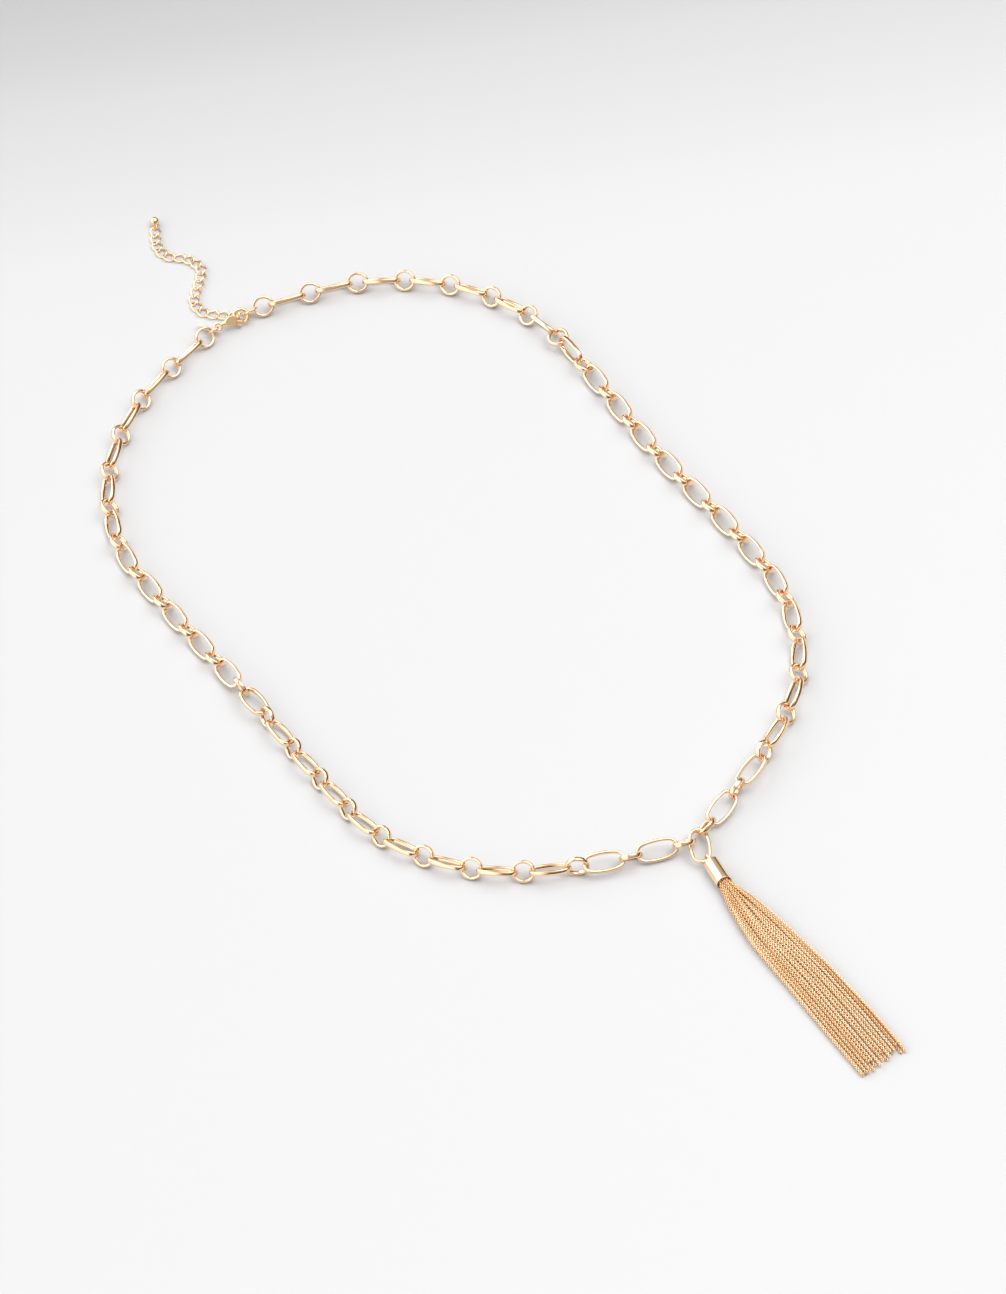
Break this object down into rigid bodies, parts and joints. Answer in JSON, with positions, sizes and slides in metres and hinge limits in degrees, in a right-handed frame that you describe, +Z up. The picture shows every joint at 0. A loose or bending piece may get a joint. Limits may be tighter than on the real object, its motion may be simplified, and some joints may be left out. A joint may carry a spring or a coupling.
{
  "type": "tassel necklace",
  "caption": "Long gold chain necklace of oval and round links with a capped tassel of fine chains, a lobster clasp, an extender and a blank tag, lying in an open loop.",
  "frame": {"origin": "centre of the object's box on the surface it lies on", "axes": "+Z up from the surface; the tassel points towards -Y and the clasp lies towards +Y"},
  "size_m": [0.2186, 0.4657, 0.0079],
  "materials": {
    "chain_gold": "polished, gold plated",
    "cap_gold": "polished, with fine lines round it",
    "tassel_gold": "bright fine chain",
    "clasp_gold": "polished casting",
    "ring_gold": "polished wire",
    "tag_gold": "polished plate"
  },
  "bodies": {
    "necklace": {"chain_right": "chain_gold", "chain_left": "chain_gold", "centre_link": "chain_gold", "tassel_cap": "cap_gold", "tassel_strands": "tassel_gold", "clasp_body": "clasp_gold", "clasp_jump_ring": "ring_gold", "tail_jump_ring": "ring_gold", "blank_tag": "tag_gold", "extender_chain": "ring_gold", "extender_ball": "ring_gold"},
    "lever": {"clasp_lever": "clasp_gold"}
  },
  "joints": [
    {"name": "lever_hinge", "type": "hinge", "parent": "necklace", "child": "lever", "pos_m": [-0.0507, 0.1689, 0.00287], "axis": [0.1651, -0.6876, 0.7071], "range_deg": [0, 15], "stiffness_Nm_per_rad": 0.001}
  ]
}
